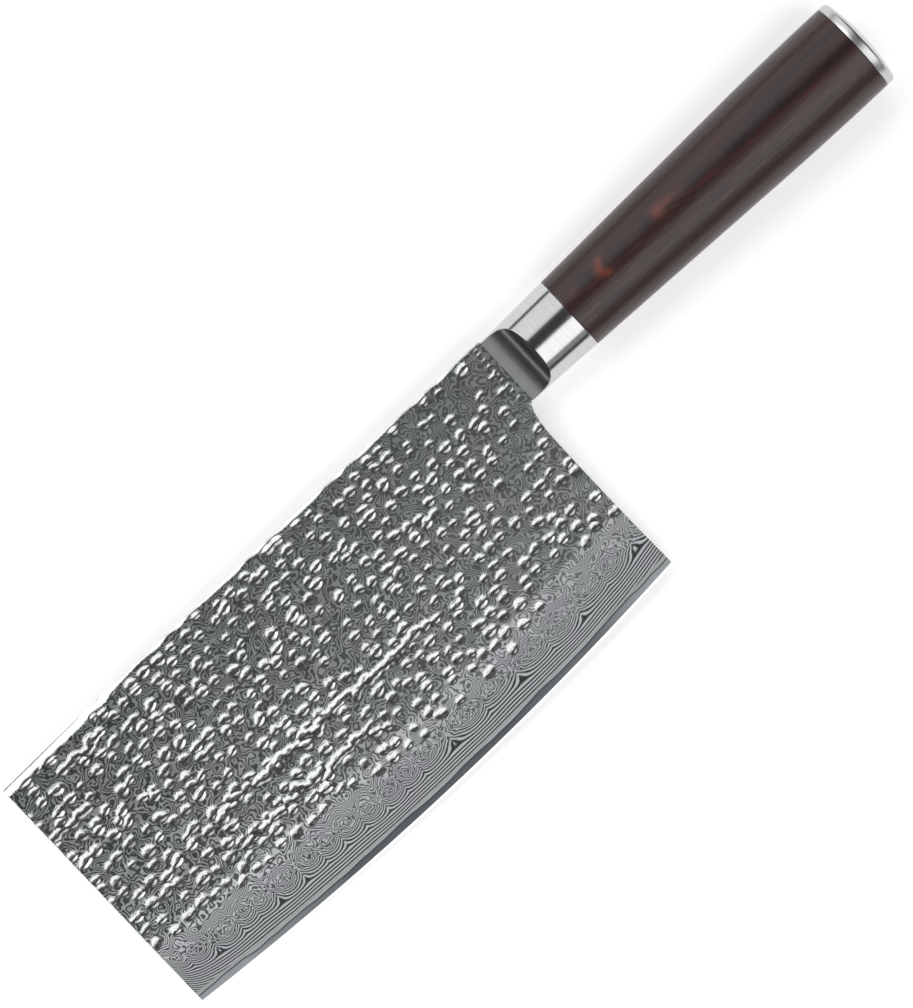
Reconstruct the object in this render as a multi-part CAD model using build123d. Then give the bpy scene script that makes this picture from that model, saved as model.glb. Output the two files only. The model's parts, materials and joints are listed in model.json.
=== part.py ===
from build123d import *

import math
import os

# Chinese cleaver with a laminated blade, a scooped bolster, an oval grip and a domed end cap.
# It is built with X along the knife from the front of the blade, Y up from the middle of the
# handle towards the spine, and Z out of its left side, and is then laid down on its right side
# the way it lies on a table. All lengths are in millimetres.

# Blade outline
blade_length = 178.2  # front corner to heel corner of the cutting edge
blade_height = 85.8  # spine to the lowest point of the curved edge
edge_sag = 3.9  # the edge's curve below the line between its two corners
spine_droop = 1.0  # fall of the spine at the front corner
spine_droop_length = 94.0  # stretch of the spine that falls
heel_hollow = 0.5  # how far the heel line curves in towards the blade
heel_lean = 0.4  # top of the heel line, in front of the heel corner
choil_height = 11.7  # curve from the heel line up to the neck
neck_length = 2.6  # heel corner to bolster
neck_drop = 10.5  # lower side of the neck, below the middle of the handle
handle_drop = 11.6  # middle of the handle, below the spine

# Blade section
blade_thickness = 2.2
core_thickness = 0.56
grind_height = 22.0  # the flat sides end this far above the edge
edge_thickness = 0.36  # at the top of the sharpening bevel
sharpening_height = 0.7
edge_land = 0.06
spine_radius = 0.95
front_break = 0.2  # broken corners of the front and the heel

# Tang, a stub that passes through the bolster into the grip
tang_height = 12.0
tang_thickness = 2.0
tang_reach = 28.0  # into the grip
tang_corner = 2.0

# Bolster
bolster_length = 23.8
bolster_lip = 0.4  # step from the side of the blade up to the front of the scoop
scoop_radius = 10.0
slot_clearance = 0.05

# Oval of the handle, which tapers straight and then rounds off to its swell near the butt
front_height = 21.6  # at the front of the bolster
swell_height = 28.2
swell_inset = 7.4  # swell, in front of the cap
rounding_length = 32.0  # stretch over which the taper rounds off
oval_share = 0.86  # width over height
bolster_steps = 2
grip_steps = 8

# Grip
grip_length = 106.7
pocket_diameter = 13.4  # bore for the tang
pocket_end_room = 2.0
bore_diameter = 8.0
counterbore_diameter = 13.0
counterbore_depth = 13.0

# Rod, washer and nut
rod_diameter = 6.0
rod_weld_length = 14.0  # fork of the rod over the tang
thread_showing = 1.5
washer_diameter = 12.0
washer_thickness = 1.2
washer_clearance = 0.2
nut_across_flats = 10.0
nut_thickness = 5.0
nut_chamfer = 0.5
thread_clearance = 0.02

# End cap
cap_rim = 2.9
cap_dome = 1.4
cap_corner = 1.1
corner_steps = 4
dome_steps = 3
dome_flat_share = 0.12  # flat middle of the dome
spigot_clearance = 0.05
spigot_gap = 0.3

# Tools that cut past a face
overrun = 5.0

# Stations along the knife
bolster_x = blade_length + neck_length
joint_x = bolster_x + bolster_length
butt_x = joint_x + grip_length
rim_x = butt_x + cap_rim
end_x = rim_x + cap_dome
tang_x = joint_x + tang_reach
pocket_x = tang_x + pocket_end_room
floor_x = butt_x - counterbore_depth
nut_x = floor_x + washer_thickness
nut_end_x = nut_x + nut_thickness
rod_end_x = nut_end_x + thread_showing

# Heights from the middle of the handle
spine_y = handle_drop
edge_y = spine_y - blade_height
chord_y = edge_y + edge_sag
choil_y = -neck_drop - choil_height
heel_top_x = blade_length - heel_lean


def along(start_x, end_x, diameter):
    """A round bar on the middle of the handle."""
    bar = Cylinder(diameter / 2, end_x - start_x, align=(Align.CENTER, Align.CENTER, Align.MIN))
    return Pos(start_x, 0, 0) * Rot(0, 90, 0) * bar


def slice_along(start_x, end_x, height, width):
    """A square-cornered bar on the middle of the handle."""
    bar = Box(end_x - start_x, height, width, align=(Align.MIN, Align.CENTER, Align.CENTER))
    return Pos(start_x, 0, 0) * bar


def blade_outline():
    """The side of the blade. Its lower end runs past the cutting edge, which the grind cuts."""
    below_y = edge_y - overrun
    middle_y = (chord_y + choil_y) / 2
    front_top = (0, spine_y - spine_droop)
    droop_end = (spine_droop_length, spine_y)
    neck_top = (bolster_x, spine_y)
    neck_bottom = (bolster_x, -neck_drop)
    choil_top = (heel_top_x, choil_y)
    heel_corner = (blade_length, chord_y)
    edges = Curve() + [
        TangentArc(droop_end, front_top, tangent=(-1, 0)),
        Line(droop_end, neck_top),
        Line(neck_top, neck_bottom),
        EllipticalCenterArc(
            (bolster_x, choil_y),
            bolster_x - heel_top_x,
            choil_height,
            start_angle=90,
            arc_size=90,
        ),
        ThreePointArc(choil_top, (blade_length - heel_hollow, middle_y), heel_corner),
        Line(heel_corner, (blade_length, below_y)),
        Line((blade_length, below_y), (0, below_y)),
        Line((0, below_y), front_top),
    ]
    return make_face(edges)


def ground_disc():
    """A disc whose rim has the blade's section, so that the grind follows the curved edge."""
    half_chord = blade_length / 2
    edge_radius = (half_chord**2 + edge_sag**2) / (2 * edge_sag)
    inner_radius = edge_radius - blade_height - overrun
    bevel_radius = edge_radius - sharpening_height
    flat_radius = edge_radius - grind_height
    section = Polyline(
        (inner_radius, -blade_thickness / 2),
        (flat_radius, -blade_thickness / 2),
        (bevel_radius, -edge_thickness / 2),
        (edge_radius, -edge_land / 2),
        (edge_radius, edge_land / 2),
        (bevel_radius, edge_thickness / 2),
        (flat_radius, blade_thickness / 2),
        (inner_radius, blade_thickness / 2),
        close=True,
    )
    # The sector starts on the far side of the blade's heel and ends past its front corner.
    half_angle = math.degrees(math.atan2(blade_length, edge_radius - blade_height))
    profile = Plane.XZ * make_face(section)
    sector = revolve(Rot(0, 0, -90 - half_angle) * profile, Axis.Z, 2 * half_angle)
    return Pos(half_chord, edge_y + edge_radius, 0) * sector


def blunt_front():
    """A bar as thick as the blade, with the long corners of its front end broken."""
    half_blade = blade_thickness / 2
    profile = Polyline(
        (0, front_break - half_blade),
        (0, half_blade - front_break),
        (front_break, half_blade),
        (end_x, half_blade),
        (end_x, -half_blade),
        (front_break, -half_blade),
        close=True,
    )
    return extrude(Plane.XZ * make_face(profile), blade_height + overrun, both=True)


def blade_blank():
    """The whole laminated blade before it is parted into its layers."""
    plate = extrude(blade_outline(), blade_thickness / 2, both=True)
    plate = plate & ground_disc()
    spine_edges = [
        edge
        for edge in plate.edges()
        if edge.center().Y > spine_y - spine_droop - spine_radius
        and abs(edge.center().Z) > blade_thickness / 4
        and edge.length > neck_length
    ]
    plate = fillet(spine_edges, spine_radius) & blunt_front()
    tang = slice_along(bolster_x, tang_x, tang_height, tang_thickness)
    end_corners = tang.edges().filter_by(Axis.Z).group_by(Axis.X)[-1]
    return plate + fillet(end_corners, tang_corner)


def layer(blank, low_z, high_z):
    """The part of the blade between two heights."""
    reach = end_x + overrun
    slab = Box(
        2 * reach,
        2 * reach,
        high_z - low_z,
        align=(Align.CENTER, Align.CENTER, Align.MIN),
    )
    return blank & Pos(0, 0, low_z) * slab


def handle_height(x):
    """Height of the oval at a station: a straight taper that rounds off to the swell."""
    rounding_x = butt_x - swell_inset - rounding_length
    taper = (swell_height - front_height) / (rounding_x - bolster_x + rounding_length / 2)
    past = max(x - rounding_x, 0)
    return front_height + taper * (x - bolster_x - past**2 / (2 * rounding_length))


def oval(x, inset=0, share=1):
    """The handle's section at a station, drawn in by an inset or to a share of its size."""
    high = (handle_height(x) - 2 * inset) * share
    wide = (handle_height(x) * oval_share - 2 * inset) * share
    return Plane.YZ.offset(x) * Ellipse(high / 2, wide / 2)


def oval_length(start_x, end_at_x, steps):
    """A length of the oval handle between two stations."""
    step = (end_at_x - start_x) / steps
    return loft([oval(start_x + step * i) for i in range(steps + 1)], ruled=True)


def bolster():
    """The collar, with a round scoop on each side that falls to just above the blade."""
    collar = oval_length(bolster_x, joint_x, bolster_steps)
    scoop = Rot(90, 0, 0) * Cylinder(scoop_radius, 2 * swell_height)
    scoop_z = blade_thickness / 2 + bolster_lip + scoop_radius
    slot = slice_along(
        bolster_x - overrun,
        joint_x + overrun,
        tang_height + 2 * slot_clearance,
        tang_thickness + 2 * slot_clearance,
    )
    return collar - Pos(bolster_x, 0, scoop_z) * scoop - Pos(bolster_x, 0, -scoop_z) * scoop - slot


def handle_grip():
    """The grip, bored for the tang and the rod and counterbored for the nut."""
    grip = oval_length(joint_x, butt_x, grip_steps)
    pocket = along(joint_x - overrun, pocket_x, pocket_diameter)
    bore = along(joint_x, butt_x, bore_diameter)
    counterbore = along(floor_x, butt_x + overrun, counterbore_diameter)
    return grip - pocket - bore - counterbore


def tang_rod():
    """The rod, with a slot across its front end that is welded over the tang."""
    rod = along(tang_x - rod_weld_length, rod_end_x, rod_diameter)
    tip = rod.edges().filter_by(GeomType.CIRCLE).group_by(Axis.X)[-1]
    rod = chamfer(tip, nut_chamfer)
    fork = slice_along(tang_x - rod_weld_length - overrun, tang_x, rod_diameter * 2, tang_thickness)
    return rod - fork


def tang_epoxy(blank, rod):
    """The adhesive between the grip's bore and what stands in it."""
    filling = along(joint_x, pocket_x, pocket_diameter) + along(pocket_x, floor_x, bore_diameter)
    return filling - blank - rod


def nut_washer():
    """The washer on the floor of the counterbore."""
    disc = along(floor_x, nut_x, washer_diameter)
    return disc - along(floor_x - overrun, nut_x + overrun, rod_diameter + 2 * washer_clearance)


def tang_nut():
    """The hexagon nut, with its outer corners chamfered."""
    hexagon = RegularPolygon(nut_across_flats / 2, 6, major_radius=False)
    nut = extrude(Plane.YZ.offset(nut_x) * hexagon, nut_thickness)
    corner_radius = nut_across_flats / math.sqrt(3)
    turned = along(nut_x, nut_end_x, 2 * corner_radius)
    turned = chamfer(turned.edges().filter_by(GeomType.CIRCLE), nut_chamfer)
    bore = along(nut_x - overrun, nut_end_x + overrun, rod_diameter + 2 * thread_clearance)
    return (nut & turned) - bore


def end_cap():
    """The domed cap with a rounded rim, and a spigot that is glued into the counterbore."""
    corner_x = rim_x - cap_corner
    sections = [oval(butt_x)]
    for i in range(corner_steps + 1):
        angle = math.radians(90 * i / corner_steps)
        x = corner_x + cap_corner * math.sin(angle)
        sections.append(oval(x, inset=cap_corner * (1 - math.cos(angle))))
    for i in range(1, dome_steps + 1):
        share = 1 - (1 - dome_flat_share) * i / dome_steps
        x = rim_x + cap_dome * (1 - share**2) / (1 - dome_flat_share**2)
        sections.append(oval(x, inset=cap_corner, share=share))
    spigot = along(rod_end_x + spigot_gap, butt_x, counterbore_diameter - 2 * spigot_clearance)
    return loft(sections, ruled=True) + spigot


def build_parts():
    """Every piece by its name."""
    blank = blade_blank()
    rod = tang_rod()
    half_core = core_thickness / 2
    half_blade = blade_thickness / 2
    return {
        "blade_core": layer(blank, -half_core, half_core),
        "cladding_left": layer(blank, half_core, half_blade),
        "cladding_right": layer(blank, -half_blade, -half_core),
        "bolster": bolster(),
        "handle_grip": handle_grip(),
        "end_cap": end_cap(),
        "tang_rod": rod,
        "tang_epoxy": tang_epoxy(blank, rod),
        "nut_washer": nut_washer(),
        "tang_nut": tang_nut(),
    }


def table():
    """What the knife lies on: the front corner of its edge and its handle's taper touch it."""
    depth = handle_height(0) * oval_share / 2
    slope_x = (handle_height(joint_x) * oval_share / 2 - depth) / joint_x
    slope_y = -depth / chord_y
    return Plane(origin=(0, 0, -depth), x_dir=(1, 0, -slope_x), z_dir=(slope_x, slope_y, 1))


def lay_down(parts):
    """Lays the knife on its right side, the origin in the middle of the underside of its box."""
    place = table().location.inverse()
    laid = {name: place * piece for name, piece in parts.items()}
    box = Compound(list(laid.values())).bounding_box()
    centre = box.center()
    return {name: Pos(-centre.X, -centre.Y, -box.min.Z) * piece for name, piece in laid.items()}


os.makedirs("parts", exist_ok=True)
for name, piece in lay_down(build_parts()).items():
    export_step(piece.solid(), f"parts/{name}.step")
    size = piece.bounding_box().size
    print(f"{name}: {piece.volume:.0f} mm3, {size.X:.2f} by {size.Y:.2f} by {size.Z:.2f} mm")
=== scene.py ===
import json
import math

import bmesh
import bpy
import numpy as np
from mathutils import Matrix, Vector


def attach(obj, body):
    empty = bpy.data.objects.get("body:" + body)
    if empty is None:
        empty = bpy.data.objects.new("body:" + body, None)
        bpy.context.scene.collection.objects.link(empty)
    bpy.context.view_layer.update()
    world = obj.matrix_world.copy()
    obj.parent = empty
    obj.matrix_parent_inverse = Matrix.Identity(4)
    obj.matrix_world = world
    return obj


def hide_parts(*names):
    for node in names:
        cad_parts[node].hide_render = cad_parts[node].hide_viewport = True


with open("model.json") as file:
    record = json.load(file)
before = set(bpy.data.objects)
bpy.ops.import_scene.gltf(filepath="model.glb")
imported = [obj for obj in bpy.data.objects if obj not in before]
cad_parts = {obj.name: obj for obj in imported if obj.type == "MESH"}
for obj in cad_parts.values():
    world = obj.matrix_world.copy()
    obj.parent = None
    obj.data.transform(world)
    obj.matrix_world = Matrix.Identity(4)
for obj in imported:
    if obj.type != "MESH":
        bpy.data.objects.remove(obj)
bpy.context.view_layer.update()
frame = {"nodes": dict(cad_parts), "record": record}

# A Chinese cleaver: a laminated blade with hammered, pattern-welded sides, a scooped steel collar,
# a resin-laminated grip and a domed end cap. Pieces are shaped in millimetres, with X along the
# knife from the front of the blade, Y up from the middle of the handle towards the spine and Z out
# of the left side, and are then put where the knife lies.

# Blade
BLADE_LENGTH = 178.2
BLADE_HEIGHT = 85.8
HALF_BLADE = 1.1
HALF_CORE = 0.28
SPINE_Y = 11.6
EDGE_Y = SPINE_Y - BLADE_HEIGHT
EDGE_SAG = 3.9
CHORD_Y = EDGE_Y + EDGE_SAG
SPINE_DROOP = 1.0
DROOP_LENGTH = 94.0
SPINE_RADIUS = 0.95
GRIND_HEIGHT = 22.0
SHARPENING_HEIGHT = 0.7
HALF_EDGE = 0.18
FRONT_BREAK = 0.2
HEEL_HOLLOW = 0.5
HEEL_LEAN = 0.4
NECK_DROP = 10.5
CHOIL_HEIGHT = 11.7
CHOIL_Y = -NECK_DROP - CHOIL_HEIGHT
EDGE_RADIUS = ((BLADE_LENGTH / 2) ** 2 + EDGE_SAG**2) / (2 * EDGE_SAG)
EDGE_CENTRE = (BLADE_LENGTH / 2, EDGE_Y + EDGE_RADIUS)
GRIND_SLOPE = (HALF_BLADE - HALF_EDGE) / (GRIND_HEIGHT - SHARPENING_HEIGHT)
CORE_LINE = SHARPENING_HEIGHT + (HALF_CORE - HALF_EDGE) / GRIND_SLOPE

# Grid of a hammered side
GRID_COLUMNS = 326
GRID_ROWS = 300
GRID_LENGTH = 178.0  # rounded, for the first columns
SPINE_ROWS = 9
WIDE_ROWS = 12  # below the dents
BEATEN_FROM, BEATEN_TO = 1.2, 70.0  # how far below the spine the close rows run
SIDE_HEIGHT = 78.9  # from the spine to the core, at the heel

# Etched pattern
LAYER_PITCH = 0.8
DROP_ROW = 12.5  # height of the row of drops
DROP_SPACING = 7.6
DROP_REACH = 6.5
SWIRL_FROM, SWIRL_TO = 12.5, 18.0  # heights between which the swirls set in

# Handle
BOLSTER_X = 180.8
JOINT_X = 204.6
BUTT_X = 311.3
RIM_X = 314.2
END_X = 315.6
TANG_X = 232.6
TANG_HEIGHT = 12.0
SCOOP_RADIUS = 10.0
LIP = 0.4
FRONT_HEIGHT = 21.6
SWELL_HEIGHT = 28.2
SWELL_INSET = 7.4
ROUNDING = 32.0
OVAL_SHARE = 0.86
CAP_CORNER = 1.1
EASED = 0.14  # eased edges at the joints of the handle
PLY_LEAN = 18  # degrees
PLY_PERIOD = 0.5

# Studio, in metres and degrees
BOX_DISTANCE = 1.5
BOX_LENGTH = 2.4
SHADOW_BOX_SIZE = 0.9
CAMERA_DISTANCE = 1.5
CAMERA_TURN = -43.2


# Where the knife lies, from the mounts on its side and its handle.
mounts = {mount["name"]: mount for mount in frame["record"]["mounts"]}
ALONG = Vector(mounts["hand_grip"]["axis"]).normalized()
OUT = Vector(mounts["left_side"]["axis"]).normalized()
UP = OUT.cross(ALONG).normalized()
MIDDLE_OF_GRIP = Vector(mounts["hand_grip"]["pos_m"])
MM = 0.001
TURN = Matrix((ALONG, UP, OUT)).transposed().to_4x4()
ON_HANDLE = Matrix.Translation((-(JOINT_X + BUTT_X) / 2, 0, 0))
PLACE = Matrix.Translation(MIDDLE_OF_GRIP) @ TURN @ Matrix.Scale(MM, 4) @ ON_HANDLE


# Shader trees. Each helper adds a node and returns what comes out of it.


def linear(colour):
    """An sRGB hex colour as linear RGBA."""
    parts = [int(colour[i : i + 2], 16) / 255 for i in (1, 3, 5)]
    parts = [c / 12.92 if c <= 0.04045 else ((c + 0.055) / 1.055) ** 2.4 for c in parts]
    return (*parts, 1.0)


def add(tree, kind, inputs=None, **settings):
    """Adds a node with its settings, and fills its inputs with values or with other outputs."""
    node = tree.nodes.new(kind)
    for name, value in settings.items():
        setattr(node, name, value)
    for key, value in (inputs or {}).items():
        if isinstance(value, bpy.types.NodeSocket):
            tree.links.new(value, node.inputs[key])
        else:
            node.inputs[key].default_value = value
    return node


def attribute(tree, name, output="Fac"):
    return add(tree, "ShaderNodeAttribute", attribute_name=name).outputs[output]


def maths(tree, operation, *values):
    return add(tree, "ShaderNodeMath", dict(enumerate(values)), operation=operation).outputs[0]


def distance(tree, place, centre=(0, 0, 0)):
    inputs = {0: place, 1: centre}
    return add(tree, "ShaderNodeVectorMath", inputs, operation="DISTANCE").outputs["Value"]


def part_of(tree, vector, axis):
    return add(tree, "ShaderNodeSeparateXYZ", {0: vector}).outputs[axis]


def between(tree, value, start, end, first=0.0, last=1.0, smooth=False):
    """Turns the stretch from start to end into first to last, and holds both past its ends."""
    inputs = {"Value": value, "From Min": start, "From Max": end, "To Min": first, "To Max": last}
    kind = "SMOOTHSTEP" if smooth else "LINEAR"
    return add(tree, "ShaderNodeMapRange", inputs, interpolation_type=kind).outputs[0]


def noise(tree, vector, scale, detail):
    inputs = {"Vector": vector, "Scale": scale, "Detail": detail}
    return add(tree, "ShaderNodeTexNoise", inputs).outputs[0]


def stretched(tree, vector, scale):
    return add(tree, "ShaderNodeMapping", {"Vector": vector, "Scale": scale}).outputs[0]


def mix_values(tree, share, first, second):
    return add(tree, "ShaderNodeMix", {"Factor": share, "A": first, "B": second}).outputs[0]


def mix_colours(tree, share, first, second, way="MIX"):
    """Mixes two colours, each a hex colour or what comes out of a node."""
    first, second = (linear(c) if isinstance(c, str) else c for c in (first, second))
    inputs = {"Factor": share, "A": first, "B": second}
    return add(tree, "ShaderNodeMix", inputs, data_type="RGBA", blend_type=way).outputs[2]


def bump(tree, height, strength, depth):
    inputs = {"Height": height, "Strength": strength, "Distance": depth}
    return add(tree, "ShaderNodeBump", inputs).outputs[0]


def new_material(name):
    material = bpy.data.materials.new(name)
    material.use_nodes = True
    material.node_tree.nodes.clear()
    return material, material.node_tree


def surface(tree, shader):
    add(tree, "ShaderNodeOutputMaterial", {"Surface": shader.outputs[0]})


def principled(tree, inputs):
    surface(tree, add(tree, "ShaderNodeBsdfPrincipled", inputs))


# Materials


def pattern_depth(tree, knife, height, flow, struck_in, kinks):
    """How deep in the stack of layers the etched face lies at each place, in layers."""
    # Drops hang in a row over the edge.
    inputs = {"W": attribute(tree, "row"), "Scale": 1 / DROP_SPACING, "Randomness": 0.45}
    nearest = add(tree, "ShaderNodeTexVoronoi", inputs, voronoi_dimensions="1D").outputs["W"]
    away = maths(tree, "SUBTRACT", inputs["W"], nearest)
    up = maths(tree, "SUBTRACT", flow, DROP_ROW)
    away = add(tree, "ShaderNodeCombineXYZ", {"X": away, "Y": up}).outputs[0]
    away = maths(tree, "MINIMUM", distance(tree, away), DROP_REACH)
    drop = maths(tree, "SUBTRACT", DROP_ROW, away)
    # The layers run along the edge. From 5.5 mm up they hang round the drops.
    hung = between(tree, flow, 5.5, 10.0, smooth=True)
    layers = mix_values(tree, hung, flow, drop)
    layers = maths(tree, "MULTIPLY", layers, 1 / LAYER_PITCH)
    # The dents cut through more layers.
    layers = maths(tree, "MULTIPLY_ADD", struck_in, 4.0, layers)
    # Swirls about 7 mm across, the kinks in them, and a fine grain inside the drops.
    swirl = between(tree, height, SWIRL_FROM, SWIRL_TO, smooth=True)
    wide = noise(tree, knife, 1 / 7.0, 1.0)
    wide = maths(tree, "MULTIPLY_ADD", wide, 14.0, -8.8)
    warp = maths(tree, "MULTIPLY_ADD", kinks, 3.6, wide)
    grained = between(tree, flow, 9.0, 12.0, 0.0, 2.4)
    grained = maths(tree, "MULTIPLY_ADD", swirl, -1.9, grained)
    fine = noise(tree, knife, 1.0, 0.0)
    fine = maths(tree, "MULTIPLY_ADD", fine, grained, layers)
    return maths(tree, "MULTIPLY_ADD", warp, swirl, fine)


def pattern_lines(tree, knife, flow, depth):
    """Dark and light lines of the etch, 0 to 1."""
    turns = maths(tree, "MULTIPLY", depth, math.tau)
    line = between(tree, maths(tree, "SINE", turns), -0.6, 0.6, smooth=True)
    # They are fainter in the drops and above them, most of all towards the heel.
    faint = between(tree, part_of(tree, knife, "X"), 30.0, 150.0, 0.2, 0.5)
    faint = between(tree, flow, 8.5, 12.0, 0.0, faint)
    return mix_values(tree, faint, line, 0.45)


def pattern_steel():
    """Pattern-welded stainless steel, hammered, etched and buffed.

    The etch leaves dark lines about as wide as the light ones. They follow the edge, ring the
    drops over it and swirl between the dents. The buffed dents throw back bright spots.
    """
    material, tree = new_material("etched_pattern_welded_steel")
    knife = attribute(tree, "knife", "Vector")
    height = attribute(tree, "above_edge")
    flow = attribute(tree, "flow")
    struck_in = attribute(tree, "struck_in")
    # Kinks of about 2.5 mm in the lines.
    kinks = noise(tree, knife, 1 / 2.5, 1.0)
    depth = pattern_depth(tree, knife, height, flow, struck_in, kinks)
    line = pattern_lines(tree, knife, flow, depth)
    # Above the ground zone the buffing has brightened the light lines.
    worn = between(tree, height, 10.0, 18.0)
    light = mix_colours(tree, worn, "#adb0af", "#c3c5c4")
    colour = mix_colours(tree, line, "#383c3b", light)
    # Faint purple and teal patches 15 mm across, left by the etch.
    patch = between(tree, noise(tree, knife, 1 / 15.0, 1.0), 0.42, 0.6)
    patch = mix_colours(tree, patch, "#f9fefe", "#fcf9ff")
    colour = mix_colours(tree, 1.0, colour, patch, "MULTIPLY")
    # The buffing takes most of the etch off the dents, and smooths them.
    dented = between(tree, struck_in, 0.0, 0.12)
    buffed = maths(tree, "MULTIPLY", dented, 0.85)
    colour = mix_colours(tree, buffed, colour, "#cdcfce")
    rough = between(tree, line, 0.0, 1.0, 0.34, 0.28)
    rough = maths(tree, "MULTIPLY_ADD", dented, -0.13, rough)
    # The first layer beside the core is light all along.
    first = maths(tree, "MULTIPLY_ADD", kinks, 0.8, height)
    first = between(tree, first, 3.75, 4.0)
    colour = mix_colours(tree, first, "#929595", colour)
    # The shoulder of the spine is rubbed bright.
    colour = mix_colours(tree, attribute(tree, "rubbed"), colour, "#eeeeee")
    raised = bump(tree, line, 0.25, 0.00001)
    principled(
        tree, {"Base Color": colour, "Metallic": 1.0, "Roughness": rough, "Normal": raised}
    )
    return material


def core_steel():
    """Hard stainless steel: etched to a satin grey, and bright where it was sharpened last."""
    material, tree = new_material("ground_core_steel")
    place = add(tree, "ShaderNodeTexCoord").outputs["Object"]
    # Cloudy patches 30 mm long, left by the etch, which bit less at both ends of the edge.
    ends = distance(tree, place, PLACE @ Vector((BLADE_LENGTH / 2, EDGE_Y, 0)))
    ends = maths(tree, "MULTIPLY_ADD", ends, 11.0, -0.65)
    cloud = maths(tree, "ADD", noise(tree, place, 33.0, 1.0), ends)
    cloud = between(tree, cloud, 0.2, 0.8)
    colour = mix_colours(tree, cloud, "#505356", "#85888a")
    # A dark weld line wanders 2 to 3 mm above the edge, and over it the first light layer starts.
    reach = distance(tree, place, PLACE @ Vector((*EDGE_CENTRE, 0)))
    wander = maths(tree, "MULTIPLY_ADD", noise(tree, place, 90.0, 1.0), 1.4 * MM, reach)
    for nearer, farther, tone in ((1.75, 1.25, "#2f3234"), (1.95, 1.75, "#929595")):
        start, end = (EDGE_RADIUS - nearer) * MM, (EDGE_RADIUS - farther) * MM
        above = between(tree, wander, start, end, 1.0, 0.0)
        colour = mix_colours(tree, above, colour, tone)
    # The last bevel, along the edge.
    bevel = EDGE_RADIUS - SHARPENING_HEIGHT
    sharpened = between(tree, reach, (bevel + 0.1) * MM, (bevel + 0.25) * MM)
    colour = mix_colours(tree, sharpened, colour, "#dfe0e1")
    # Grinding lines 0.5 mm apart and 12 mm long.
    grain = noise(tree, stretched(tree, place, (80.0, 2000.0, 80.0)), 1.0, 1.0)
    rough = between(tree, grain, 0.0, 1.0, 0.21, 0.25)
    principled(tree, {"Base Color": colour, "Metallic": 1.0, "Roughness": rough})
    return material


def polished_steel():
    """Stainless steel, satined round the handle and then polished."""
    material, tree = new_material("satin_polished_stainless_steel")
    knife = attribute(tree, "knife", "Vector")
    # Fine lines round the handle, drawn 0.25 mm apart so that they show.
    grain = noise(tree, stretched(tree, knife, (4.0, 0.12, 0.12)), 1.0, 3.0)
    rough = between(tree, grain, 0.0, 1.0, 0.11, 0.21)
    # The scoops and the cap are left satin, the scoops less so towards their far ends.
    along = part_of(tree, knife, "X")
    coarse = between(tree, along, BOLSTER_X + 3, BOLSTER_X + 7, 0.22, 0.07)
    rough = maths(tree, "MULTIPLY_ADD", attribute(tree, "satin"), coarse, rough)
    colour = mix_colours(tree, grain, "#b4b5b7", "#d0d0d0")
    # The scoops are made darker grey: painted shade in these hollows.
    colour = mix_colours(tree, attribute(tree, "scoop_shade"), colour, "#a2a4a6")
    raised = bump(tree, grain, 0.25, 0.00002)
    principled(
        tree, {"Base Color": colour, "Metallic": 1.0, "Roughness": rough, "Normal": raised}
    )
    return material


def laminated_wood():
    """Resin-filled birch laminate, dyed dark brown with reddish layers, sanded and buffed."""
    material, tree = new_material("resin_laminated_birch")
    knife = attribute(tree, "knife", "Vector")
    # Waves in the plies, 30 mm long and 9 mm wide.
    warp = noise(tree, stretched(tree, knife, (1 / 30, 1 / 9, 1 / 9)), 1.0, 2.0)
    warp = maths(tree, "MULTIPLY", warp, 2.0)
    ply = maths(tree, "ADD", attribute(tree, "plies"), warp)
    inputs = {"W": ply, "Scale": 0.9, "Detail": 2.0}
    dye = add(tree, "ShaderNodeTexNoise", inputs, noise_dimensions="1D").outputs[0]
    dyes = add(tree, "ShaderNodeValToRGB", {"Fac": dye})
    positions = (0.3, 0.45, 0.55, 0.64, 0.74)
    tones = ("#2a1517", "#361c1c", "#432524", "#4f2b26", "#381c1d")
    for i, (position, tone) in enumerate(zip(positions, tones)):
        stop = dyes.color_ramp.elements[i] if i < 2 else dyes.color_ramp.elements.new(position)
        stop.position = position
        stop.color = linear(tone)
    # Where a ply is cut at a slant it shows as an island, red-brown or nearly black.
    colour = mix_colours(tree, attribute(tree, "dark_island"), dyes.outputs[0], "#1e1315")
    colour = mix_colours(tree, attribute(tree, "red_island"), colour, "#8f4530")
    # Grain 0.3 mm wide and 12 mm long.
    grain = noise(tree, stretched(tree, knife, (0.08, 3.0, 3.0)), 1.0, 3.0)
    fibre = between(tree, grain, 0.35, 0.65)
    shade = mix_colours(tree, fibre, "#b3a8a7", "#ffffff")
    colour = mix_colours(tree, 1.0, colour, shade, "MULTIPLY")
    rough = between(tree, fibre, 0.0, 1.0, 0.38, 0.26)
    raised = bump(tree, fibre, 0.3, 0.00002)
    principled(tree, {"Base Color": colour, "Roughness": rough, "IOR": 1.54, "Normal": raised})
    return material


def zinc_plate():
    """Zinc-plated mild steel, with the small cloudy crystals of the plating."""
    material, tree = new_material("zinc_plated_steel")
    place = add(tree, "ShaderNodeTexCoord").outputs["Object"]
    cloud = noise(tree, place, 700.0, 3.0)
    colour = mix_colours(tree, cloud, "#a9acb0", "#d2d4d3")
    rough = between(tree, cloud, 0.0, 1.0, 0.25, 0.45)
    principled(tree, {"Base Color": colour, "Metallic": 1.0, "Roughness": rough})
    return material


def cured_epoxy():
    """Cured epoxy adhesive: amber, glossy, slightly cloudy from trapped air."""
    material, tree = new_material("cured_epoxy")
    place = add(tree, "ShaderNodeTexCoord").outputs["Object"]
    cloud = noise(tree, place, 400.0, 2.0)
    colour = mix_colours(tree, cloud, "#b48f4e", "#d8bd84")
    rough = between(tree, cloud, 0.0, 1.0, 0.12, 0.3)
    principled(tree, {"Base Color": colour, "Roughness": rough, "IOR": 1.55})
    return material


# Objects


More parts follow.
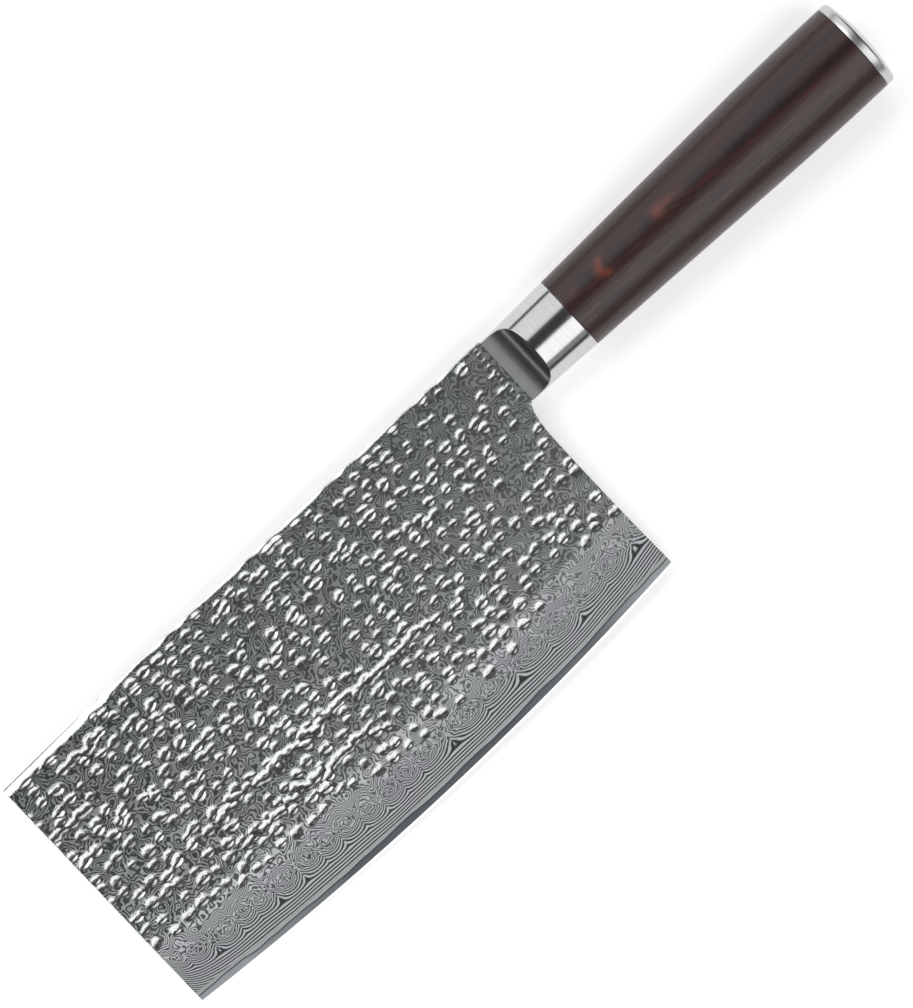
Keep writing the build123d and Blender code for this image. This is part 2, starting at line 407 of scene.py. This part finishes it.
def mesh_of(name, bm):
    mesh = bpy.data.meshes.new(name)
    bm.to_mesh(mesh)
    bm.free()
    return mesh


def in_scene(name, data):
    """A new object, linked to the scene."""
    thing = bpy.data.objects.new(name, data)
    bpy.context.scene.collection.objects.link(thing)
    return thing


def place_piece(name, bm, material, node, fields, crease):
    """Fields works out the piece's attributes from the places of its vertices. Edges sharper than
    the crease, in degrees, stay sharp.
    """
    mesh = mesh_of(name, bm)
    at = np.empty(len(mesh.vertices) * 3)
    mesh.vertices.foreach_get("co", at)
    mesh.attributes.new("knife", "FLOAT_VECTOR", "POINT").data.foreach_set("vector", at)
    for field, values in fields(at.reshape(-1, 3)).items():
        mesh.attributes.new(field, "FLOAT", "POINT").data.foreach_set("value", values)
    mesh.shade_smooth()
    mesh.set_sharp_from_angle(angle=math.radians(crease))
    mesh.transform(PLACE)
    mesh.materials.append(material)
    piece = in_scene(name, mesh)
    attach(piece, "root")
    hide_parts(node)


# Blade outline, as functions of the place along or across the knife.


def spine_line(x):
    radius = (DROOP_LENGTH**2 + SPINE_DROOP**2) / (2 * SPINE_DROOP)
    past = np.maximum(DROOP_LENGTH - x, 0)
    return SPINE_Y - radius + np.sqrt(radius**2 - past**2)


def core_line(x):
    """Where the ground side meets the core."""
    radius = EDGE_RADIUS - CORE_LINE
    return EDGE_CENTRE[1] - np.sqrt(radius**2 - (x - EDGE_CENTRE[0]) ** 2)


def heel_line(y):
    """Right end of the blade at a height: heel line, choil and neck."""
    middle = (CHORD_Y + CHOIL_Y) / 2
    half = (CHOIL_Y - CHORD_Y) / 2
    share = np.clip((y - middle) / half, -1.1, 1)
    lean = HEEL_LEAN * (share + 1) / 2
    heel = BLADE_LENGTH - lean - (HEEL_HOLLOW - HEEL_LEAN / 2) * (1 - share**2)
    reach = BOLSTER_X - (BLADE_LENGTH - HEEL_LEAN)
    rise = np.clip((y - CHOIL_Y) / CHOIL_HEIGHT, 0, 1)
    return np.where(y < CHOIL_Y, heel, BOLSTER_X - reach * np.sqrt(1 - rise**2))


def above_edge(x, y):
    return EDGE_RADIUS - np.hypot(x - EDGE_CENTRE[0], y - EDGE_CENTRE[1])


def hammered_down_to(x):
    """Lower limit of the hammered area."""
    stations = (0, 20, 30, 41, 58, 80, 125, 150, 178)
    return np.interp(x, stations, (-50.5, -50.5, -53.5, -56, -56.5, -58.3, -58, -53.5, -50))


def dents(rng):
    """Places and shapes of the dents of one side, row by row, as a ball-ended hammer leaves them.

    Each is its place, its half lengths along and across the knife, its depth, its turn, its lean
    and the phase of its uneven outline.
    """
    found = []

    def strike(x, y, long, size, deep, turn=0.5):
        lean = rng.uniform(0.02, 0.2)
        turned = rng.uniform(-turn, turn)
        found.append((x, y, long, size, deep, turned, lean, rng.uniform(0, math.tau)))

    y = SPINE_Y - 3.0
    while y > -59:
        x = rng.uniform(0.3, 3.0)
        while x < 177.0:
            towards_heel = x / BLADE_LENGTH
            px = x + rng.uniform(-1.2, 1.2)
            py = y + rng.uniform(-1.3, 1.3)
            # Places left bare: more of them towards the heel, and half of them beside the neck.
            bare = 0.05 + 0.16 * towards_heel**2
            if x > 160 and y > -25:
                bare = 0.5
            if py > hammered_down_to(px) and rng.random() > bare:
                size = rng.uniform(1.15, 1.8) - 0.1 * towards_heel**2
                long = size * rng.uniform(1.05, 1.6 - 0.35 * towards_heel)
                strike(px, py, long, size, size * rng.uniform(0.16, 0.24))
            x += rng.uniform(4.5, 6.1)
        y -= rng.uniform(3.9, 4.4)
    # Rows where the blows ran into each other.
    for start, end, row, size in (
        (40, 117, -35.6, 1.6),
        (39, 88, -45.9, 1.4),
        (0.5, 14, -8.6, 1.5),
        (16, 31, 3.2, 1.3),
    ):
        x = start
        while x < end:
            near = size * rng.uniform(0.85, 1.15)
            strike(x, row + rng.uniform(-0.7, 0.7), near * 1.4, near, near * 0.19, 0.3)
            x += size * rng.uniform(1.5, 2.3)
    # A column of small punch marks beside the neck.
    y = SPINE_Y - 1.6
    while y > -9:
        strike(178.4 + rng.uniform(-0.2, 0.2), y, 0.7, 0.7, 0.12)
        y -= rng.uniform(1.3, 2.6)
    return found


def dent_depth(x, y, blows):
    """Depth of all dents at each place, with neighbours run into each other.

    A dent has a flat floor and a sloping wall. The hammer leant towards the spine, so that the
    wall is steeper on that side.
    """
    total = np.zeros_like(x)
    for cx, cy, long, size, deep, turn, lean, phase in blows:
        near = np.nonzero((abs(x - cx) < 1.3 * long) & (abs(y - cy) < 1.3 * long))[0]
        dx, dy = x[near] - cx, y[near] - cy
        u = (dx * math.cos(turn) + dy * math.sin(turn)) / long
        v = (dy * math.cos(turn) - dx * math.sin(turn)) / size
        around = np.arctan2(v, u)
        uneven = 1 + 0.08 * np.sin(2 * around + phase) + 0.05 * np.sin(3 * around + 2 * phase)
        floor = 0.48 + lean * np.sin(around)
        out = np.clip((np.hypot(u, v) * uneven - floor) / (1 - floor), 0, 1)
        total[near] += (deep * (1 - out)) ** 4
    return total**0.25


def shoulder_width(x):
    """Width of the rubbed-down shoulder of the spine, which gets uneven away from the front."""
    uneven = 0.5 + 0.5 * np.sin(x / 2.3 + 2 * np.sin(x / 5.1))
    width = np.interp(x, (0, 38, 52, 180), (2.7, 2.4, 1.5, 1.3))
    return width - uneven * np.clip((x - 26) / 10, 0, 0.7)


def side_height(x, y):
    """Height of a side of the blade over its middle plane, before it is hammered."""
    below = np.clip(GRIND_HEIGHT - above_edge(x, y), 0, None)
    z = HALF_BLADE - GRIND_SLOPE * below
    # The shoulder of the spine is rubbed down, widest at the front.
    into = np.clip(y - spine_line(x) + shoulder_width(x), 0, None)
    z = z - 0.33 * into**1.1
    # The spine itself is rounded.
    over = np.clip(y - spine_line(x) + SPINE_RADIUS, 0, SPINE_RADIUS)
    rounded = HALF_BLADE - SPINE_RADIUS + np.sqrt(SPINE_RADIUS**2 - over**2)
    return np.maximum(np.minimum(z, rounded), HALF_CORE)


def struck(x, y, blows):
    """Depth of the dents, which get shallow at the spine's shoulder and the blade's ends."""
    inside = np.clip((spine_line(x) - shoulder_width(x) * 0.7 - y) / 1.6, 0, 1)
    ends = np.clip((x + 0.3) / 1.2, 0, 1) * np.clip((heel_line(y) - x + 0.3) / 1.2, 0, 1)
    return dent_depth(x, y, blows) * (0.15 + 0.85 * inside) * (0.35 + 0.65 * ends)


def steel_fields(blows):
    """What the etched pattern follows: the flow of the layers, the dents and the rubbed spine."""

    def work_out(at):
        x, y = at[:, 0], at[:, 1]
        height = above_edge(x, y)
        depth = struck(x, y, blows)
        # The layers rise at both ends of the edge, and wander.
        rise = 5.0 * np.exp(-x / 5.0) + 2.4 * np.clip((x - 140) / 38, 0, 1) ** 2
        wander = 0.35 * np.sin(x / 5.3) + 0.25 * np.sin(x / 2.9 + 1.3) + 0.4 * np.sin(x / 11 + 0.5)
        rubbed = np.clip((y - spine_line(x) + shoulder_width(x) * 0.85) / 0.3, 0, 1)
        return {
            "above_edge": height,
            "flow": height - rise + wander * np.clip((height - 3) / 8, 0, 1.5),
            # The drops follow this one. From the middle of the edge on they stand further apart.
            "row": np.where(x < 91, x, 91 + 0.62 * (x - 91)),
            "struck_in": depth * (1 - rubbed),
            "rubbed": rubbed,
        }

    return work_out


def grid_lines(columns, rows):
    """Where the lines of a side's grid go: shares of its length, and distances below its spine.

    One column is for the broken front corner, and the others are even. Some rows go round the
    spine, then come close ones as far down as the dents go, then wider ones.
    """
    even = np.linspace(0.5 / GRID_LENGTH, 1, columns - 1)
    share = np.concatenate(([0, FRONT_BREAK / GRID_LENGTH], even))
    start = math.asin((HALF_CORE - HALF_BLADE + SPINE_RADIUS) / SPINE_RADIUS)
    round_spine = SPINE_RADIUS * (1 - np.cos(np.linspace(start, math.pi / 2, SPINE_ROWS)))
    beaten = np.linspace(BEATEN_FROM, BEATEN_TO, rows + 1 - SPINE_ROWS - WIDE_ROWS)
    wide = np.linspace(BEATEN_TO, SIDE_HEIGHT, WIDE_ROWS + 1)[1:]
    return share, np.concatenate((round_spine, beaten, wide))[::-1]


def hammered_side(name, side, seed, material, node):
    """One side of the blade: a fine grid laid on its outline and beaten down at every dent."""
    blows = dents(np.random.default_rng(seed))
    bm = bmesh.new()
    bmesh.ops.create_grid(bm, x_segments=GRID_COLUMNS, y_segments=GRID_ROWS, size=0.5)
    at = np.array([vert.co[:] for vert in bm.verts])
    across = np.unique(np.round(at[:, 0], 6))
    upward = np.unique(np.round(at[:, 1], 6))
    column = np.searchsorted(across, np.round(at[:, 0], 6))
    row = np.searchsorted(upward, np.round(at[:, 1], 6))
    last_column = len(across) - 1
    share, drop = grid_lines(last_column, len(upward) - 1)
    share, drop = share[column], drop[row]
    # The ends of a column and of a row depend on each other, so they are found step by step.
    x = share * BLADE_LENGTH
    for _ in range(8):
        high = spine_line(x) - core_line(x)
        y = spine_line(x) - drop * np.where(drop < 1, 1, high / SIDE_HEIGHT)
        y = np.maximum(y, core_line(x))
        x = share * heel_line(y)
    z = side_height(x, y)
    waves = 0.02 * np.sin(x / 1.9 + 2 * np.sin(y / 3.1)) * np.sin(y / 1.7 + np.sin(x / 4.3))
    z = z - struck(x, y, blows) + waves * np.clip((above_edge(x, y) - 14) / 6, 0, 1)
    z = np.where(column == 0, z - FRONT_BREAK, z)
    z = np.where(column == last_column, z - 0.1, z)
    z = np.maximum(z, HALF_CORE + 0.004)
    for vert, place in zip(bm.verts, np.stack((x, y, z * side), axis=1)):
        vert.co = place
    # A wall down to the core, and the face on it.
    rim = [edge for edge in bm.edges if edge.is_boundary]
    wall = bmesh.ops.extrude_edge_only(bm, edges=rim)["geom"]
    for part in wall:
        if isinstance(part, bmesh.types.BMVert):
            part.co.z = HALF_CORE * side
    inner_rim = [part for part in wall if isinstance(part, bmesh.types.BMEdge) and part.is_boundary]
    bmesh.ops.triangle_fill(bm, edges=inner_rim, use_beauty=False)
    # The layer runs on beside the tang, into the handle.
    tang = bmesh.ops.create_cube(bm, size=1)["verts"]
    bmesh.ops.scale(bm, vec=(TANG_X - BOLSTER_X, TANG_HEIGHT, 0.7), verts=tang)
    beside = ((TANG_X + BOLSTER_X) / 2, 0, side * (HALF_CORE + 0.36))
    bmesh.ops.translate(bm, vec=beside, verts=tang)
    bmesh.ops.recalc_face_normals(bm, faces=bm.faces)
    place_piece(name, bm, material, node, steel_fields(blows), 42)


# Handle


def handle_height(x):
    rounding_x = BUTT_X - SWELL_INSET - ROUNDING
    taper = (SWELL_HEIGHT - FRONT_HEIGHT) / (rounding_x - BOLSTER_X + ROUNDING / 2)
    past = max(x - rounding_x, 0)
    return FRONT_HEIGHT + taper * (x - BOLSTER_X - past**2 / (2 * ROUNDING))


def oval_section(x, inset=0.0):
    """A section of the handle: its place along, its half height and its half width."""
    half = handle_height(x) / 2
    return (x, half - inset, half * OVAL_SHARE - inset)


def oval_run(start, end, steps):
    """Sections of a length of the handle, with eased ends."""
    sections = [oval_section(start, EASED), oval_section(start + EASED * 0.3, EASED * 0.3)]
    inner = np.linspace(start + EASED, end - EASED, steps + 1)
    sections += [oval_section(float(x)) for x in inner]
    return sections + [oval_section(end - EASED * 0.3, EASED * 0.3), oval_section(end, EASED)]


def turned_oval(sections, segments):
    """A closed oval body through its sections."""
    bm = bmesh.new()
    ring = bmesh.ops.create_circle(bm, segments=segments, radius=1)["verts"]
    bmesh.ops.rotate(bm, verts=ring, matrix=Matrix.Rotation(math.pi / 2, 3, "Y"))
    edges = bm.edges[:]
    bmesh.ops.contextual_create(bm, geom=edges)
    last = None
    for x, high, wide in sections:
        if last is not None:
            step = bmesh.ops.extrude_edge_only(bm, edges=edges)["geom"]
            ring = [part for part in step if isinstance(part, bmesh.types.BMVert)]
            edges = [part for part in step if isinstance(part, bmesh.types.BMEdge)]
            bmesh.ops.translate(bm, verts=ring, vec=(x - last[0], 0, 0))
            bmesh.ops.scale(bm, verts=ring, vec=(1, high / last[1], wide / last[2]))
        else:
            bmesh.ops.translate(bm, verts=ring, vec=(x, 0, 0))
            bmesh.ops.scale(bm, verts=ring, vec=(1, high, wide))
        last = (x, high, wide)
    bmesh.ops.contextual_create(bm, geom=edges)
    bmesh.ops.recalc_face_normals(bm, faces=bm.faces)
    return bm


def scoop_cutter(side):
    """A rod lying across one side of the collar's front."""
    bm = bmesh.new()
    size = {"radius1": SCOOP_RADIUS, "radius2": SCOOP_RADIUS, "depth": 40}
    bmesh.ops.create_cone(bm, cap_ends=True, segments=192, **size)
    bmesh.ops.rotate(bm, verts=bm.verts, matrix=Matrix.Rotation(math.pi / 2, 3, "X"))
    out = side * (HALF_BLADE + LIP + SCOOP_RADIUS)
    bmesh.ops.translate(bm, verts=bm.verts, vec=(BOLSTER_X, 0, out))
    return in_scene("scoop_cutter", mesh_of("scoop_cutter", bm))


def in_scoop(at):
    out = np.hypot(at[:, 0] - BOLSTER_X, abs(at[:, 2]) - HALF_BLADE - LIP - SCOOP_RADIUS)
    inside = (out < SCOOP_RADIUS + 0.03).astype(float)
    # The same mask paints shade into the scoops.
    return {"satin": inside, "scoop_shade": inside}


def scooped_collar(material):
    """The collar, with a round scoop cut across each side of its front."""
    bm = turned_oval(oval_run(BOLSTER_X, JOINT_X, 24), 180)
    blank = in_scene("collar_blank", mesh_of("collar_blank", bm))
    cutters = [scoop_cutter(side) for side in (1, -1)]
    for cutter in cutters:
        scoop = blank.modifiers.new("scoop", "BOOLEAN")
        scoop.operation = "DIFFERENCE"
        scoop.solver = "EXACT"
        scoop.object = cutter
    bpy.context.view_layer.update()
    depsgraph = bpy.context.evaluated_depsgraph_get()
    scooped = bpy.data.meshes.new_from_object(blank.evaluated_get(depsgraph))
    for left_over in (blank, *cutters):
        bpy.data.objects.remove(left_over)
    bm = bmesh.new()
    bm.from_mesh(scooped)
    bmesh.ops.remove_doubles(bm, verts=bm.verts, dist=0.002)
    # The edges of the scoops are broken.
    crisp = [
        edge
        for edge in bm.edges
        if len(edge.link_faces) == 2
        and edge.calc_face_angle() > math.radians(30)
        and all(BOLSTER_X + 0.3 < vert.co.x < BOLSTER_X + SCOOP_RADIUS + 0.5 for vert in edge.verts)
    ]
    bmesh.ops.bevel(
        bm, geom=crisp, offset=0.1, segments=2, profile=0.5, affect="EDGES", material=-1
    )
    bmesh.ops.recalc_face_normals(bm, faces=bm.faces)
    place_piece("scooped_collar", bm, material, "bolster", in_scoop, 12)


def wood_plies(at):
    """Which ply shows at each place: flat plies that lean towards the spine, and their islands."""
    x, y, z = at[:, 0], at[:, 1], at[:, 2]
    lean = math.radians(PLY_LEAN)
    plies = (z * math.cos(lean) + y * math.sin(lean)) / PLY_PERIOD

    def islands(*those):
        """Each is its strength, its place along and across, and its half lengths."""
        shown = np.zeros_like(x)
        for share, along, across, long, wide in those:
            shown += share * np.exp(-(((x - along) / long) ** 2) - (((y - across) / wide) ** 2))
        return shown

    # A red ply shows as a crescent open towards the butt, and again as an oval.
    bow = np.hypot((x - 222.2) / 4.4, (y - 3.4) / 2.9)
    red = 0.8 * np.exp(-(((bow - 0.85) / 0.3) ** 2)) * np.clip((221.8 - x) / 2, 0, 1)
    red = red + islands((0.7, 240.9, 4.4, 2.0, 1.6), (0.3, 244.6, 5.0, 2.2, 1.2))
    dark = islands(
        (1.0, 213.5, 4.6, 3.0, 2.0),
        (1.0, 225.6, 4.0, 3.6, 2.0),
        (1.0, 236.0, 4.2, 2.4, 1.9),
        (0.8, 254.6, 4.4, 4.6, 1.9),
        (0.7, 268.5, 3.0, 6.5, 1.5),
        (0.5, 290.0, 2.2, 9.0, 1.2),
    )
    return {
        "plies": plies + 0.8 * dark + 0.5 * red,
        "red_island": red * (1 - 0.9 * np.clip(dark, 0, 1)),
        "dark_island": 0.85 * dark,
    }


def laminated_grip(material):
    bm = turned_oval(oval_run(JOINT_X, BUTT_X, 220), 160)
    place_piece("laminated_grip", bm, material, "handle_grip", wood_plies, 40)


def all_satin(at):
    return {"satin": np.full(len(at), 2.0)}


def domed_cap(material):
    """The cap: eased at the wood, with a rounded rim and a low dome."""
    sections = [oval_section(BUTT_X, EASED), oval_section(BUTT_X + EASED)]
    for i in range(10):
        angle = math.radians(10 * i)
        x = RIM_X - CAP_CORNER + CAP_CORNER * math.sin(angle)
        sections.append(oval_section(x, CAP_CORNER * (1 - math.cos(angle))))
    for i in range(1, 16):
        share = 1 - i / 16
        x = RIM_X + (END_X - RIM_X) * (1 - share**2)
        _, high, wide = oval_section(x, CAP_CORNER)
        sections.append((x, high * share, wide * share))
    sections.append((END_X, 0.05, 0.045))
    bm = turned_oval(sections, 160)
    place_piece("domed_cap", bm, material, "end_cap", all_satin, 50)


# Studio


def table_top():
    """A white card under the knife."""
    bm = bmesh.new()
    bmesh.ops.create_grid(bm, x_segments=1, y_segments=1, size=6)
    mesh = mesh_of("table_top", bm)
    material, tree = new_material("white_card")
    place = add(tree, "ShaderNodeTexCoord").outputs["Object"]
    colour = mix_colours(tree, noise(tree, place, 300.0, 1.0), "#f4f4f4", "#f7f7f7")
    card = add(tree, "ShaderNodeBsdfDiffuse", {"Color": colour})
    # The card reads white wherever it is seen, directly or in the steel, under a light shadow.
    rays = add(tree, "ShaderNodeLightPath").outputs
    seen = maths(tree, "ADD", rays["Is Camera Ray"], rays["Is Glossy Ray"])
    seen = maths(tree, "ADD", seen, rays["Is Transmission Ray"])
    glow = between(tree, distance(tree, place), 0.4, 1.4, 0.44, 1.0)
    seen = maths(tree, "MULTIPLY", seen, glow)
    white = add(tree, "ShaderNodeEmission", {"Color": (1, 1, 1, 1), "Strength": seen})
    surface(tree, add(tree, "ShaderNodeAddShader", {0: card.outputs[0], 1: white.outputs[0]}))
    mesh.materials.append(material)
    in_scene("table_top", mesh)


def room():
    """A dark room with a white skirting."""
    world = bpy.data.worlds.new("studio")
    bpy.context.scene.world = world
    world.use_nodes = True
    tree = world.node_tree
    tree.nodes.clear()
    up = part_of(tree, add(tree, "ShaderNodeTexCoord").outputs["Generated"], "Z")
    wall = between(tree, up, 0.045, 0.065, 1.0, 0.05, smooth=True)
    sky = add(tree, "ShaderNodeBackground", {"Color": (1, 1, 1, 1), "Strength": wall})
    add(tree, "ShaderNodeOutputWorld", {"Surface": sky.outputs[0]})


def soft_boxes():
    # Each box spans a stretch of the half circle over the knife, from the top down to a side.
    for name, near, far, level in (
        ("edge_side_box", 10, 59, 1.65),
        ("low_edge_box", 59, 74, 0.3),
        ("spine_side_box", -16, -80, 1.1),
    ):
        middle = math.radians((near + far) / 2)
        lamp = bpy.data.lights.new(name, "AREA")
        lamp.shape = "RECTANGLE"
        lamp.size = BOX_LENGTH
        lamp.size_y = 2 * BOX_DISTANCE * math.sin(math.radians(abs(far - near) / 2))
        lamp.energy = level * math.pi * lamp.size * lamp.size_y
        box = in_scene(name, lamp)
        box.location = (0, -BOX_DISTANCE * math.sin(middle), BOX_DISTANCE * math.cos(middle))
        box.rotation_euler = (middle, 0, 0)

    # A square box, up over the front of the spine, throws the light shadow beside the handle.
    lamp = bpy.data.lights.new("shadow_box", "AREA")
    lamp.size = SHADOW_BOX_SIZE
    lamp.energy = 1.8 * math.pi * lamp.size**2
    box = in_scene("shadow_box", lamp)
    box.location = Vector((-0.75, 0.85, 1.0))
    box.rotation_euler = box.location.to_track_quat("Z", "Y").to_euler()


def look_down():
    """A camera straight above, with the knife running from lower left to upper right."""
    camera = bpy.data.cameras.new("camera")
    camera.lens = 194.0
    camera.sensor_width = 36.0
    view = in_scene("camera", camera)
    view.location = PLACE @ Vector((145.8, -17.2, 1.0)) + Vector((0, 0, CAMERA_DISTANCE))
    view.rotation_euler = (0, 0, math.radians(CAMERA_TURN))
    bpy.context.scene.camera = view
    bpy.context.scene.view_settings.view_transform = "Standard"


steel = pattern_steel()
core = core_steel()
polished = polished_steel()
wood = laminated_wood()
zinc = zinc_plate()
epoxy = cured_epoxy()

hammered_side("hammered_side_left", 1, 11, steel, "cladding_left")
hammered_side("hammered_side_right", -1, 23, steel, "cladding_right")
scooped_collar(polished)
laminated_grip(wood)
domed_cap(polished)

for node, material in (
    ("blade_core", core),
    ("tang_rod", zinc),
    ("tang_epoxy", epoxy),
    ("nut_washer", zinc),
    ("tang_nut", zinc),
):
    carried = frame["nodes"][node].data.materials
    carried.clear()
    carried.append(material)

table_top()
room()
soft_boxes()
look_down()
